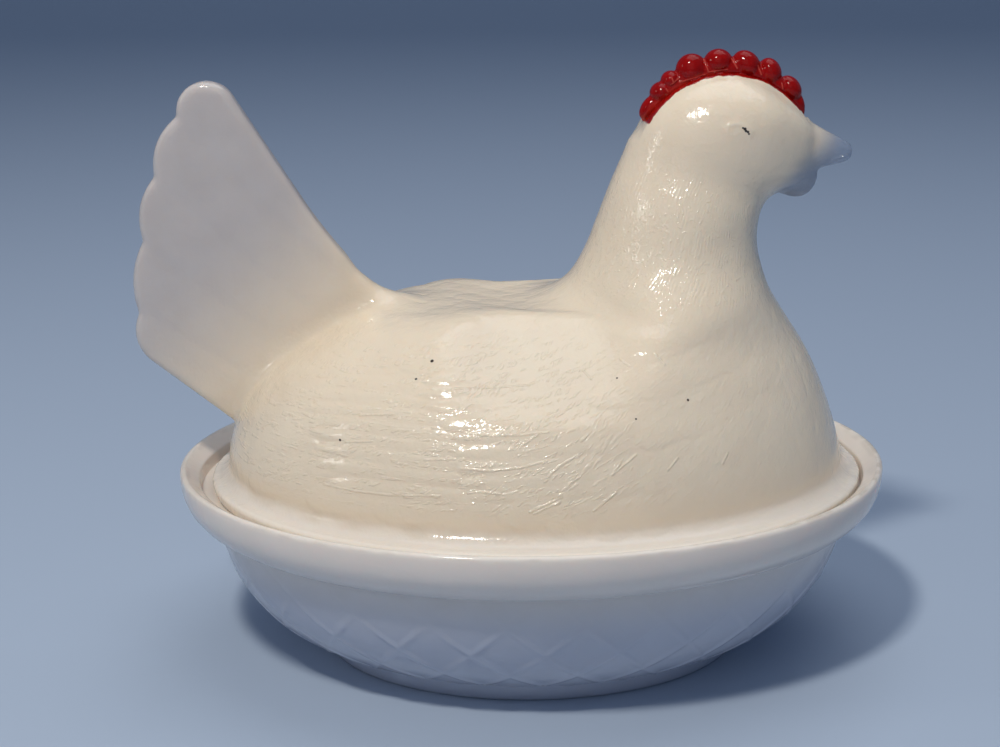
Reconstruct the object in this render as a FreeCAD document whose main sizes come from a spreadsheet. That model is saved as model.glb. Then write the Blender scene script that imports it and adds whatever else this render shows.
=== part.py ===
import FreeCAD, Part
import os

# Hen on nest covered dish in pressed milk glass, millimetres, +Z up, +X towards the hen's head.
# The origin is the middle of the foot's underside, and Y = 0 is the plane of symmetry.
# The dish is one pressing, the hen is the loose lid, and the comb carries a thin coat of red enamel.

OUTPUT_FOLDER = "parts"

document = FreeCAD.newDocument("hen_on_nest_dish")
sheet = document.addObject("Spreadsheet::Sheet", "Sizes")

# Driving dimensions, in millimetres and, where the name says angle, in degrees
sizes = [
    # dish
    ("rim_length", 178.0),
    ("rim_width", 140.0),
    ("rim_height", 49.1),
    ("rim_edge_round", 0.9),
    ("rim_crest_width", 0.4),
    ("rim_face_width", 3.4),
    ("rim_face_drop", 2.6),
    ("rim_band_height", 13.3),
    ("rim_band_draw_in", 7.1),
    ("rim_step", 1.3),
    ("foot_length", 106.2),
    ("foot_width", 80.8),
    ("foot_height", 5.2),
    ("foot_flare", 3.0),
    ("foot_ring_width", 6.0),
    ("foot_recess_depth", 2.4),
    ("foot_recess_draft", 1.0),
    ("dish_wall", 5.0),
    ("dish_floor_thickness", 5.6),
    ("ledge_wall_height", 3.0),
    ("ledge_width", 7.2),
    ("ledge_wall_draft", 0.5),
    # lid, whose flange lies inside the dish's rim and stands out round the hen as a shelf, with a
    # sloping skirt where the hen rises from it
    ("flange_clearance", 2.0),
    ("flange_thickness", 3.4),
    ("flange_draft", 0.7),
    ("flange_round", 0.9),
    ("flange_shelf_end", 5.0),
    ("flange_shelf_side", 6.5),
    ("skirt_rise", 1.8),
    ("skirt_run", 2.2),
    ("skirt_lip", 0.4),
    ("lid_set_forward", 1.2),
    ("hen_height", 96.6),
    ("hen_wall", 4.6),
    ("crown_radius", 22.6),
    ("head_width", 30.8),
    # tail
    ("tail_reach", 99.4),
    ("tail_rise", 95.8),
    ("tail_root_thickness", 10.0),
    ("tail_edge_thickness", 5.6),
    ("tail_edge_round", 1.9),
    # beak, wattle and eyes
    ("beak_length", 12.0),
    ("beak_root_depth", 12.6),
    ("beak_root_width", 11.0),
    ("wattle_length", 10.8),
    ("wattle_depth", 10.8),
    ("wattle_thickness", 6.0),
    ("eye_length", 5.2),
    ("eye_height", 3.0),
    ("eye_thickness", 3.4),
    # comb
    ("comb_band_height", 1.2),
    ("comb_band_width", 6.6),
    ("comb_bead_diameter", 6.8),
    ("comb_start_angle", 33.2),
    ("comb_end_angle", 149.3),
    ("enamel_thickness", 0.3),
    # how far a cutting tool runs past the face it opens
    ("cut_overrun", 1.0),
]
for row, (alias, value) in enumerate(sizes, start=1):
    sheet.set("A%d" % row, alias)
    sheet.set("B%d" % row, str(value))
    sheet.setAlias("B%d" % row, alias)

# Sizes that follow from the driving ones, so that what fits together keeps together
derived_sizes = [
    # dish
    ("foot_top_length", "[foot_length] + 2 * [foot_flare]"),
    ("foot_top_width", "[foot_width] + 2 * [foot_flare]"),
    ("bowl_height", "[rim_height] - [rim_band_height] - [foot_height]"),
    ("bowl_top_length", "[rim_length] - 2 * [rim_band_draw_in] - 2 * [rim_step]"),
    ("bowl_top_width", "[rim_width] - 2 * [rim_band_draw_in] - 2 * [rim_step]"),
    ("rim_top_length", "[rim_length] - 2 * [rim_edge_round] - 2 * [rim_crest_width]"),
    ("rim_top_width", "[rim_width] - 2 * [rim_edge_round] - 2 * [rim_crest_width]"),
    ("rim_inner_length", "[rim_top_length] - 2 * [rim_face_width]"),
    ("rim_inner_width", "[rim_top_width] - 2 * [rim_face_width]"),
    ("rim_inner_height", "[rim_height] - [rim_face_drop]"),
    ("ledge_height", "[rim_inner_height] - [ledge_wall_height]"),
    ("ledge_outline_length", "[rim_inner_length] - 2 * [ledge_wall_draft]"),
    ("ledge_outline_width", "[rim_inner_width] - 2 * [ledge_wall_draft]"),
    ("hollow_top_length", "[ledge_outline_length] - 2 * [ledge_width]"),
    ("hollow_top_width", "[ledge_outline_width] - 2 * [ledge_width]"),
    ("hollow_depth", "[ledge_height] - [foot_recess_depth] - [dish_floor_thickness]"),
    ("floor_length", "[foot_top_length] - 2 * [dish_wall]"),
    ("floor_width", "[foot_top_width] - 2 * [dish_wall]"),
    ("recess_length", "[foot_length] - 2 * [foot_ring_width]"),
    ("recess_width", "[foot_width] - 2 * [foot_ring_width]"),
    # lid
    ("flange_foot_length", "[ledge_outline_length] - 2 * [flange_clearance]"),
    ("flange_foot_width", "[ledge_outline_width] - 2 * [flange_clearance]"),
    ("flange_length", "[flange_foot_length] + 2 * [flange_draft]"),
    ("flange_width", "[flange_foot_width] + 2 * [flange_draft]"),
    ("flange_top_height", "[ledge_height] + [flange_thickness]"),
    ("hen_length", "[flange_length] - 2 * [flange_shelf_end]"),
    ("hen_width", "[flange_width] - 2 * [flange_shelf_side]"),
    ("hen_foot_height", "[flange_top_height] + [skirt_rise]"),
    ("skirt_top_length", "[hen_length] + 2 * [skirt_lip]"),
    ("skirt_top_width", "[hen_width] + 2 * [skirt_lip]"),
    ("skirt_foot_length", "[skirt_top_length] + 2 * [skirt_run]"),
    ("skirt_foot_width", "[skirt_top_width] + 2 * [skirt_run]"),
    # comb
    ("comb_sweep_angle", "[comb_end_angle] - [comb_start_angle]"),
]
derived = document.addObject("App::VarSet", "Derived")
derived_aliases = [alias for alias, sum_text in derived_sizes]
for alias in derived_aliases:
    derived.addProperty("App::PropertyFloat", alias, "Derived")


def cells(text):
    """An expression on the sheet's cells and the derived sizes, each written in the text as [alias]."""
    for alias in derived_aliases:
        text = text.replace("[%s]" % alias, "Derived.%s" % alias)
    return "(" + text.replace("[", "Sizes.").replace("]", "") + ")"


for alias, sum_text in derived_sizes:
    derived.setExpression(alias, cells(sum_text))
document.recompute()


def size(alias):
    """The value of one cell of the sheet, or of one derived size."""
    if alias in derived_aliases:
        return float(getattr(derived, alias))
    return float(sheet.get(alias))


def flat_section(name, length, width, height, along="0"):
    """A level ellipse, its length, width, height and place along X given as expressions."""
    section = document.addObject("Part::Ellipse", name)
    section.setExpression("MajorRadius", cells(length) + " / 2")
    section.setExpression("MinorRadius", cells(width) + " / 2")
    section.setExpression("Placement.Base.x", cells(along))
    section.setExpression("Placement.Base.z", cells(height))
    return section


def loft(name, sections, ruled=False):
    """A closed solid through the sections, in order."""
    solid = document.addObject("Part::Loft", name)
    solid.Sections = sections
    solid.Solid = True
    solid.Ruled = ruled
    return solid


def fuse(name, pieces):
    union = document.addObject("Part::MultiFuse", name)
    union.Shapes = pieces
    return union


def cut(name, base, tool):
    remainder = document.addObject("Part::Cut", name)
    remainder.Base = base
    remainder.Tool = tool
    return remainder


# Nest dish: foot

foot = loft("foot", [
    flat_section("foot_underside", "[foot_length]", "[foot_width]", "0"),
    flat_section(
        "foot_top",
        "[foot_top_length]",
        "[foot_top_width]",
        "[foot_height]",
    ),
], ruled=True)

# Nest dish: bowl, swelling from the top of the foot to the step under the rim's band.
# Each row is a share of the bowl's height and the share of its swell that is reached there.
bowl_shares = [
    (0.0, 0.0),
    (0.12, 0.29),
    (0.26, 0.52),
    (0.42, 0.69),
    (0.6, 0.825),
    (0.8, 0.925),
    (1.0, 1.0),
]


def swell(start, end, share):
    """An expression for the size that is the given share of the way from start to end."""
    return "%s + %g * (%s - %s)" % (start, share, end, start)


bowl_sections = []
for number, (height_share, swell_share) in enumerate(bowl_shares, start=1):
    bowl_sections.append(flat_section(
        "bowl_section_%d" % number,
        swell("[foot_top_length]", "[bowl_top_length]", swell_share),
        swell("[foot_top_width]", "[bowl_top_width]", swell_share),
        "[foot_height] + %g * [bowl_height]" % height_share,
    ))
bowl = loft("bowl", bowl_sections)

# Nest dish: rim band, rounding out from its lower edge to the widest line, which its top keeps.
# Each row is a share of the band's height and the share of the draw-in that is left there.
band_shares = [(0.0, 1.0), (0.2, 0.5), (0.45, 0.16), (0.75, 0.015), (1.0, 0.0)]
band_sections = []
for number, (height_share, draw_share) in enumerate(band_shares, start=1):
    band_sections.append(flat_section(
        "band_section_%d" % number,
        "[rim_length] - 2 * %g * [rim_band_draw_in]" % draw_share,
        "[rim_width] - 2 * %g * [rim_band_draw_in]" % draw_share,
        "[rim_height] - (1 - %g) * [rim_band_height]" % height_share,
    ))
rim_band = loft("rim_band", band_sections)

# Nest dish: inside, with the rim's face that slopes in from the crest, the wall under it and the
# ledge that the lid's flange sits on.
# The hollow's rows are shares of its depth below the ledge and of its draw-in towards the floor.
hollow_shares = [
    (0.0, 0.0),
    (0.22, 0.045),
    (0.44, 0.15),
    (0.66, 0.32),
    (0.83, 0.52),
    (0.945, 0.745),
    (1.0, 1.0),
]
lid_seat = loft("lid_seat", [
    flat_section("ledge_outline", "[ledge_outline_length]", "[ledge_outline_width]", "[ledge_height]"),
    flat_section("rim_inner_edge", "[rim_inner_length]", "[rim_inner_width]", "[rim_inner_height]"),
    flat_section("rim_top_edge", "[rim_top_length]", "[rim_top_width]", "[rim_height]"),
    flat_section("rim_past", "[rim_top_length]", "[rim_top_width]", "[rim_height] + [cut_overrun]"),
], ruled=True)

hollow_sections = []
for number, (depth_share, draw_share) in enumerate(hollow_shares, start=1):
    hollow_sections.append(flat_section(
        "hollow_section_%d" % number,
        swell("[hollow_top_length]", "[floor_length]", draw_share),
        swell("[hollow_top_width]", "[floor_width]", draw_share),
        "[ledge_height] - %g * [hollow_depth]" % depth_share,
    ))
dish_hollow = loft("dish_hollow", hollow_sections)
hollow_mouth = loft("hollow_mouth", [
    flat_section("mouth_low", "[hollow_top_length]", "[hollow_top_width]", "[ledge_height]"),
    flat_section("mouth_high", "[hollow_top_length]", "[hollow_top_width]", "[ledge_height] + [cut_overrun]"),
], ruled=True)

# Nest dish: shallow recess under the foot, which leaves the ring that the dish stands on
foot_recess = loft("foot_recess", [
    flat_section("recess_past", "[recess_length]", "[recess_width]", "-[cut_overrun]"),
    flat_section("recess_mouth", "[recess_length]", "[recess_width]", "0"),
    flat_section(
        "recess_top",
        "[recess_length] - 2 * [foot_recess_draft]",
        "[recess_width] - 2 * [foot_recess_draft]",
        "[foot_recess_depth]",
    ),
], ruled=True)

dish_outside = fuse("dish_outside", [foot, bowl, rim_band])
dish_inside = fuse("dish_inside", [lid_seat, hollow_mouth, dish_hollow, foot_recess])
dish_body = cut("dish_body", dish_outside, dish_inside)
document.recompute()


# How near an edge must come to the height and length that it is picked by
match_share = 0.005


def edges_at(shape, height, length):
    """Numbers of the shape's edges that lie level at the height and are as long as the given length."""
    found = []
    for number, edge in enumerate(shape.Edges, start=1):
        box = edge.BoundBox
        level = abs(box.ZMin - height) + abs(box.ZMax - height) < height * match_share
        if level and abs(box.XLength - length) < length * match_share:
            found.append(number)
    return found


nest_dish = document.addObject("Part::Fillet", "nest_dish")
nest_dish.Base = dish_body
band_top_length = size("rim_length") - 2 * band_shares[-1][1] * size("rim_band_draw_in")
edge_round = size("rim_edge_round")
nest_dish.Edges = [
    (number, edge_round, edge_round)
    for number in edges_at(dish_body.Shape, size("rim_height"), band_top_length)
]
nest_dish.Label = "nest_dish"

# Hen lid: flange, standing on the dish's ledge
flange_block = loft("flange_block", [
    flat_section(
        "flange_underside",
        "[flange_foot_length]",
        "[flange_foot_width]",
        "[ledge_height]",
        "[lid_set_forward]",
    ),
    flat_section(
        "flange_top",
        "[flange_length]",
        "[flange_width]",
        "[flange_top_height]",
        "[lid_set_forward]",
    ),
], ruled=True)
document.recompute()
flange = document.addObject("Part::Fillet", "flange")
flange.Base = flange_block
flange_round = size("flange_round")
flange.Edges = [
    (number, flange_round, flange_round)
    for number in edges_at(flange_block.Shape, size("flange_top_height"), size("flange_length"))
]

# Hen lid: skirt, a slope all round between the flange and the hen
skirt = loft("skirt", [
    flat_section(
        "skirt_underside", "[skirt_foot_length]", "[skirt_foot_width]", "[ledge_height]", "[lid_set_forward]"),
    flat_section(
        "skirt_foot", "[skirt_foot_length]", "[skirt_foot_width]", "[flange_top_height]", "[lid_set_forward]"),
    flat_section(
        "skirt_top", "[skirt_top_length]", "[skirt_top_width]", "[hen_foot_height]", "[lid_set_forward]"),
], ruled=True)

# Hen lid: body, neck and head in one skin through tilted ellipses.
# A row gives the ellipse's end on the back or nape, its end on the breast or throat, and its width.
# Lengths are shares of hen_length from the middle of the lid, heights are shares of hen_height
# above the skirt, and widths are shares of hen_width.
body_shares = [
    ((-0.500, 0.000), (0.500, 0.000), 1.000),
    ((-0.495, 0.085), (0.490, 0.080), 0.982),
    ((-0.472, 0.172), (0.474, 0.160), 0.930),
    ((-0.430, 0.262), (0.457, 0.228), 0.855),
    ((-0.355, 0.350), (0.437, 0.293), 0.740),
    ((-0.250, 0.424), (0.414, 0.352), 0.610),
    ((-0.105, 0.412), (0.390, 0.412), 0.550),
    ((0.006, 0.408), (0.370, 0.470), 0.486),
    ((0.058, 0.470), (0.357, 0.532), 0.418),
    ((0.092, 0.588), (0.351, 0.594), 0.362),
    ((0.119, 0.711), (0.357, 0.661), 0.315),
]

# The head goes on in the same way round the crown's centre, with lengths and heights as shares of
# crown_radius and widths as shares of head_width.
crown_centre_share = (0.296, 0.766)
head_shares = [
    ((-1.077, 0.111), (0.521, -0.295), 1.000),
    ((-0.912, 0.500), (0.748, -0.209), 0.933),
    ((-0.576, 0.825), (0.946, 0.013), 0.850),
    ((-0.178, 0.983), (0.994, 0.278), 0.710),
    ((0.130, 0.996), (0.946, 0.436), 0.500),
    ((0.439, 0.885), (0.857, 0.568), 0.240),
]


def hen_point(share):
    """Expressions for the x and z of a point given in shares of the hen."""
    return (
        "[lid_set_forward] + %g * [hen_length]" % share[0],
        "[hen_foot_height] + %g * [hen_height]" % share[1],
    )


def head_point(share):
    """Expressions for the x and z of a point given in shares of the crown's radius."""
    centre_x, centre_z = hen_point(crown_centre_share)
    return (
        "%s + %g * [crown_radius]" % (centre_x, share[0]),
        "%s + %g * [crown_radius]" % (centre_z, share[1]),
    )


unit_circle = document.addObject("Part::Circle", "unit_circle")
unit_circle.Radius = 1


def skin_section(name, back, front, width):
    """An ellipse between its ends on the back and on the front, square to the plane Y = 0."""
    section = document.addObject("Part::Scale", name)
    section.Base = unit_circle
    section.Uniform = False
    run = cells("%s - (%s)" % (front[0], back[0]))
    rise = cells("%s - (%s)" % (front[1], back[1]))
    section.setExpression("XScale", "sqrt(%s ^ 2 + %s ^ 2) / 2" % (run, rise))
    section.setExpression("YScale", cells(width) + " / 2")
    section.setExpression("Placement.Base.x", cells("%s + %s" % (front[0], back[0])) + " / 2")
    section.setExpression("Placement.Base.z", cells("%s + %s" % (front[1], back[1])) + " / 2")
    section.Placement.Rotation = FreeCAD.Rotation(FreeCAD.Vector(0, 1, 0), 1)
    section.setExpression("Placement.Rotation.Angle", "atan2(-%s; %s)" % (rise, run))
    return section


skin_rows = [
    (hen_point(back_share), hen_point(front_share), "%g * [hen_width]" % width_share)
    for back_share, front_share, width_share in body_shares
]
skin_rows += [
    (head_point(back_share), head_point(front_share), "%g * [head_width]" % width_share)
    for back_share, front_share, width_share in head_shares
]
skin_sections = [
    skin_section("skin_section_%d" % number, *row)
    for number, row in enumerate(skin_rows, start=1)
]
skin = loft("skin", skin_sections)
document.recompute()

# Hen lid: the hollow that the plunger leaves, one wall in from the skin of the body and the neck


def section_end(number, side):
    """The end of one of the skin's sections, on its back for side -1 and on its front for 1."""
    section = skin_sections[number]
    return section.Placement.multVec(FreeCAD.Vector(side * section.XScale, 0, 0))


def inward(number, side):
    """Shares of a wall's thickness by which a section's end moves into the glass, along X and Z."""
    slope = section_end(number + 1, side) - section_end(max(number - 1, 0), side)
    slope.normalize()
    return -side * slope.z, side * slope.x


def hollow_section(number):
    """The skin's section with both ends and both sides moved one wall inwards."""
    back, front, width = skin_rows[number]
    ends = []
    for end, side in ((back, -1), (front, 1)):
        share_x, share_z = inward(number, side)
        ends.append((
            "%s + %g * [hen_wall]" % (end[0], share_x),
            "%s + %g * [hen_wall]" % (end[1], share_z),
        ))
    return skin_section("hen_hollow_section_%d" % (number + 1), *ends, width + " - 2 * [hen_wall]")


hen_hollow_sections = [hollow_section(number) for number in range(len(body_shares))]
hen_hollow = loft("hen_hollow", hen_hollow_sections)
hen_mouth_past = skin_section(
    "hen_mouth_past",
    ("[lid_set_forward] - [hen_length] / 2 + [hen_wall]", "[ledge_height] - [cut_overrun]"),
    ("[lid_set_forward] + [hen_length] / 2 - [hen_wall]", "[ledge_height] - [cut_overrun]"),
    "[hen_width] - 2 * [hen_wall]",
)
hen_mouth = loft("hen_mouth", [hen_mouth_past, hen_hollow_sections[0]], ruled=True)
hen_inside = fuse("hen_inside", [hen_hollow, hen_mouth])

# Hen lid: upright tail on the plane of symmetry, with a rounded tip and scalloped feather ends.
# Rows give the end of each stretch and, for an arc, a point that it passes through.
# Lengths are shares of tail_reach behind the middle of the lid, heights shares of tail_rise.
tail_start_share = (0.225, 0.380)
tail_shares = [
    ((0.324, 0.469), None),
    ((0.460, 0.540), (0.400, 0.483)),
    ((0.572, 0.697), (0.521, 0.619)),
    ((0.737, 0.973), None),
    ((0.868, 0.914), (0.808, 1.000)),
    ((0.930, 0.764), (0.915, 0.859)),
    ((0.967, 0.599), (0.970, 0.687)),
    ((0.988, 0.410), (0.998, 0.499)),
    ((0.962, 0.281), (1.000, 0.348)),
    ((0.716, 0.076), None),
    (tail_start_share, None),
]


def tail_point(share):
    return FreeCAD.Vector(
        size("lid_set_forward") - share[0] * size("tail_reach"),
        0,
        size("hen_foot_height") + share[1] * size("tail_rise"),
    )


tail_edges = []
last_share = tail_start_share
for end_share, via_share in tail_shares:
    if via_share is None:
        curve = Part.LineSegment(tail_point(last_share), tail_point(end_share))
    else:
        curve = Part.Arc(tail_point(last_share), tail_point(via_share), tail_point(end_share))
    tail_edges.append(curve.toShape())
    last_share = end_share
tail_outline = document.addObject("Part::Feature", "tail_outline")
tail_outline.Shape = Part.Face(Part.Wire(tail_edges))

tail_slab = document.addObject("Part::Extrusion", "tail_slab")
tail_slab.Base = tail_outline
tail_slab.DirMode = "Custom"
tail_slab.Dir = FreeCAD.Vector(0, 1, 0)
tail_slab.setExpression("LengthFwd", "Sizes.tail_root_thickness")
tail_slab.Solid = True
tail_slab.Symmetric = True

# The slab is thinned from its root to its feather ends by a wedge that covers the whole outline
tail_wedge = document.addObject("Part::Wedge", "tail_wedge")
tail_wedge.Ymin = 0
tail_wedge.Zmin = 0
tail_wedge.Z2min = 0
tail_wedge.setExpression("Ymax", cells("[tail_reach] + [cut_overrun]"))
for side in ("Zmax", "Z2max"):
    tail_wedge.setExpression(side, cells("[tail_rise] + [cut_overrun]"))
tail_wedge.setExpression("Xmin", "-Sizes.tail_root_thickness / 2")
tail_wedge.setExpression("Xmax", "Sizes.tail_root_thickness / 2")
tail_wedge.setExpression("X2min", "-Sizes.tail_edge_thickness / 2")
tail_wedge.setExpression("X2max", "Sizes.tail_edge_thickness / 2")
tail_wedge.Placement = FreeCAD.Placement(
    FreeCAD.Vector(size("lid_set_forward"), 0, size("hen_foot_height")),
    FreeCAD.Rotation(FreeCAD.Vector(0, 0, 1), 90),
)
tail_block = document.addObject("Part::Common", "tail_block")
tail_block.Base = tail_slab
tail_block.Tool = tail_wedge
document.recompute()


def rim_edges(shape, body):
    """Numbers of the slab's edges that run along either face and lie outside the body."""
    found = []
    for number, edge in enumerate(shape.Edges, start=1):
        box = edge.BoundBox
        middle = edge.valueAt((edge.FirstParameter + edge.LastParameter) / 2)
        if box.YMin * box.YMax > 0 and not body.isInside(middle, size("cut_overrun"), True):
            found.append(number)
    return found


tail = document.addObject("Part::Fillet", "tail")
tail.Base = tail_block
tail_round = size("tail_edge_round")
tail.Edges = [
    (number, tail_round, tail_round)
    for number in rim_edges(tail_block.Shape, skin.Shape)
]

# Hen lid: beak, a tapering loft out of the face with a rounded tip.
# Rows are the place along beak_length, the drop of the axis as a share of the root's depth,
# the depth as a share of beak_root_depth and the width as a share of beak_root_width.
# The beak's root, the wattle and the eyes lie at shares of crown_radius from the crown's centre.
root_x, root_z = head_point((0.859, 0.195))
beak_shares = [
    (-0.208, -0.024, 1.03, 1.0),
    (0.175, 0.0, 0.937, 0.855),
    (0.4, 0.02, 0.738, 0.69),
    (0.658, 0.048, 0.556, 0.536),
    (0.825, 0.08, 0.413, 0.418),
]
beak_tip_share = 0.19
UPRIGHT = FreeCAD.Rotation(FreeCAD.Vector(0, 1, 0), -90)


def beak_section(number, along, drop, depth, width):
    section = document.addObject("Part::Ellipse", "beak_section_%d" % number)
    section.setExpression("MajorRadius", cells("%g * [beak_root_depth] / 2" % depth))
    section.setExpression("MinorRadius", cells("%g * [beak_root_width] / 2" % width))
    section.Placement.Rotation = UPRIGHT
    section.setExpression("Placement.Base.x", cells("%s + %g * [beak_length]" % (root_x, along)))
    section.setExpression("Placement.Base.z", cells("%s - %g * [beak_root_depth]" % (root_z, drop)))
    return section


def ellipsoid(name, length, width, height, x, y, z):
    """A full ellipsoid, its three axes and its centre given as expressions."""
    solid = document.addObject("Part::Ellipsoid", name)
    solid.Angle1 = -90
    solid.Angle2 = 90
    solid.Angle3 = 360
    solid.setExpression("Radius2", cells(length) + " / 2")
    solid.setExpression("Radius3", cells(width) + " / 2")
    solid.setExpression("Radius1", cells(height) + " / 2")
    solid.setExpression("Placement.Base.x", cells(x))
    solid.setExpression("Placement.Base.y", cells(y))
    solid.setExpression("Placement.Base.z", cells(z))
    return solid


beak = loft("beak", [beak_section(number, *row) for number, row in enumerate(beak_shares, start=1)])
last_along, last_drop, last_depth, last_width = beak_shares[-1]
beak_tip = ellipsoid(
    "beak_tip",
    "2 * %g * [beak_length]" % beak_tip_share,
    "%g * [beak_root_width]" % last_width,
    "%g * [beak_root_depth]" % last_depth,
    "%s + %g * [beak_length]" % (root_x, 1 - beak_tip_share),
    "0",
    "%s - %g * [beak_root_depth]" % (root_z, last_drop),
)

# Hen lid: wattle under the beak, and a low boss for each eye
wattle_x, wattle_z = head_point((0.748, -0.133))
wattle = ellipsoid(
    "wattle",
    "[wattle_length]",
    "[wattle_thickness]",
    "[wattle_depth]",
    wattle_x,
    "0",
    wattle_z,
)
eye_x, eye_z = head_point((0.182, 0.398))
eye_side_share = 0.37
eyes = [
    ellipsoid(
        "%s_eye" % name,
        "[eye_length]",
        "[eye_thickness]",
        "[eye_height]",
        eye_x,
        "%g * [head_width]" % (side * eye_side_share),
        eye_z,
    )
    for name, side in (("near", -1), ("far", 1))
]

# Comb: a band along the crown and a row of beads on it, both round the crown's centre.
# Rows are the share of the band's sweep at which a bead stands, counted from the beak's end,
# its stand-off from the crown and its diameter, both as shares of the largest bead.
bead_shares = [
    (0.976, 0.09, 0.38),
    (0.934, 0.15, 0.5),
    (0.857, 0.21, 0.6),
    (0.771, 0.33, 0.7),
    (0.662, 0.43, 1.0),
    (0.528, 0.41, 0.92),
    (0.406, 0.4, 0.88),
    (0.281, 0.37, 0.86),
    (0.14, 0.3, 0.72),
    (0.084, 0.19, 0.56),
    (0.037, 0.11, 0.42),
]
crown_x, crown_z = hen_point(crown_centre_share)


def comb_pieces(name, depth_in):
    """The beads and the band, drawn in all over by the expression depth_in."""
    pieces = []
    for number, (sweep, stand_off, diameter) in enumerate(bead_shares, start=1):
        bead = document.addObject("Part::Sphere", "%s_bead_%d" % (name, number))
        reach = "([crown_radius] + %g * [comb_bead_diameter])" % stand_off
        turn = "[comb_start_angle] + %g * [comb_sweep_angle]" % sweep
        bead.setExpression("Radius", cells("%g * [comb_bead_diameter] / 2 - %s" % (diameter, depth_in)))
        bead.setExpression("Placement.Base.x", cells("%s + %s * cos(%s)" % (crown_x, reach, turn)))
        bead.setExpression("Placement.Base.z", cells("%s + %s * sin(%s)" % (crown_z, reach, turn)))
        pieces.append(bead)
    band = document.addObject("Part::Cylinder", "%s_band" % name)
    band.setExpression("Radius", cells("[crown_radius] + [comb_band_height] - %s" % depth_in))
    band.setExpression("Height", cells("[comb_band_width] - 2 * %s" % depth_in))
    band.setExpression("Angle", "Derived.comb_sweep_angle")
    band.Placement.Rotation = FreeCAD.Rotation(FreeCAD.Vector(1, 0, 0), 90).multiply(
        FreeCAD.Rotation(FreeCAD.Vector(0, 0, 1), size("comb_start_angle"))
    )
    band.setExpression("Placement.Base.x", cells(crown_x))
    band.setExpression("Placement.Base.y", cells("[comb_band_width] / 2 - %s" % depth_in))
    band.setExpression("Placement.Base.z", cells(crown_z))
    pieces.append(band)
    return pieces


comb_core = fuse("comb_core", comb_pieces("core", "[enamel_thickness]"))
document.recompute()

hen_outside = fuse("hen_outside", [flange, skirt, skin, tail, beak, beak_tip, wattle] + eyes + [comb_core])
hen_lid = cut("hen_lid", hen_outside, hen_inside)
hen_lid.Label = "hen_lid"

# Red enamel: a thin coat over the glass comb, ending on the head
comb_outside = fuse("comb_outside", comb_pieces("enamel", "0"))
comb_enamel = cut("comb_enamel", comb_outside, hen_outside)
comb_enamel.Label = "comb_enamel"

nodes = [nest_dish, hen_lid, comb_enamel]

document.recompute()
for item in document.Objects:
    if "Invalid" in item.State or "Error" in item.State:
        raise RuntimeError("%s did not build" % item.Name)
for node in nodes:
    if node.Shape.isNull() or not node.Shape.isValid():
        raise RuntimeError("%s is not a sound shape" % node.Label)

os.makedirs(OUTPUT_FOLDER, exist_ok=True)
for node in nodes:
    print(node.Label, "solids", len(node.Shape.Solids), "volume", round(node.Shape.Volume))
    node.Shape.exportStep(os.path.join(OUTPUT_FOLDER, node.Label + ".step"))
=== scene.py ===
import math

import bpy
import numpy as np
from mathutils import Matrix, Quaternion, Vector
from mathutils.bvhtree import BVHTree


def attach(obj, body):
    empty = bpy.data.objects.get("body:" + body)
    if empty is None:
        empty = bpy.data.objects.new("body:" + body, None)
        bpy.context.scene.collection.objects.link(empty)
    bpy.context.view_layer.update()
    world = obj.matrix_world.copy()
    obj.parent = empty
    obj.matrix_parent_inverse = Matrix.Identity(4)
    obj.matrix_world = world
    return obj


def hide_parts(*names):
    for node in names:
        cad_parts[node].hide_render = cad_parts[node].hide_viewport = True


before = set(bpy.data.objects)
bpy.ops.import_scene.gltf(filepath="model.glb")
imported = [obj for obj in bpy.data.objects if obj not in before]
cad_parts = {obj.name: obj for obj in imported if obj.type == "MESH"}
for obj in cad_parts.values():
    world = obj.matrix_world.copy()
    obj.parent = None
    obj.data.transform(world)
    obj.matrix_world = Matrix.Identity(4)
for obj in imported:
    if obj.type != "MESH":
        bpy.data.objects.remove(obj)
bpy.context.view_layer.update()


# Camera: the photograph's viewpoint, a little above the rim and square to the hen's right side.
# It was fitted to the ovals of rim and foot, and its frame is 1000 by 747.
camera_place = Vector((-0.0229, -0.4134, 0.1913))
camera_target = Vector((-0.0079, 0.0, 0.0706))
camera_roll = math.radians(-0.40)
focal_pixels = 1707.6
frame_width, frame_height = 1000, 747

bpy.ops.object.camera_add(location=camera_place)
camera = bpy.context.object
camera.name = "camera"
camera.rotation_mode = "QUATERNION"
sight = (camera_target - camera_place).to_track_quat("-Z", "Y")
camera.rotation_quaternion = sight @ Quaternion((0, 0, 1), camera_roll)
camera.data.sensor_width = 36
camera.data.lens = camera.data.sensor_width * focal_pixels / frame_width
camera.data.clip_start = 0.01
bpy.context.scene.camera = camera
bpy.context.view_layer.update()


def sight_line(column, row):
    """Start and direction of the line of sight through one point of the 1000 by 747 frame."""
    across = (column - frame_width / 2) / focal_pixels
    upward = (frame_height / 2 - row) / focal_pixels
    direction = camera.matrix_world.to_3x3() @ Vector((across, upward, -1))
    return camera_place, direction.normalized()


# Lights and the look of the picture: one small bright lamp above the front makes the glints, a
# weak one stands at the left, and soft panels and a pale sky fill the shade, as in a small studio.
middle = Vector((0.0, 0.0, 0.07))


def soft_light(name, direction, distance, width, watts, colour):
    """A square light panel that faces the object from that direction."""
    place = middle + Vector(direction).normalized() * distance
    bpy.ops.object.light_add(type="AREA", location=place)
    lamp = bpy.context.object
    lamp.name = name
    lamp.data.size = width
    lamp.data.energy = watts
    lamp.data.color = colour
    lamp.rotation_mode = "QUATERNION"
    lamp.rotation_quaternion = (middle - place).to_track_quat("-Z", "Y")


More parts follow.
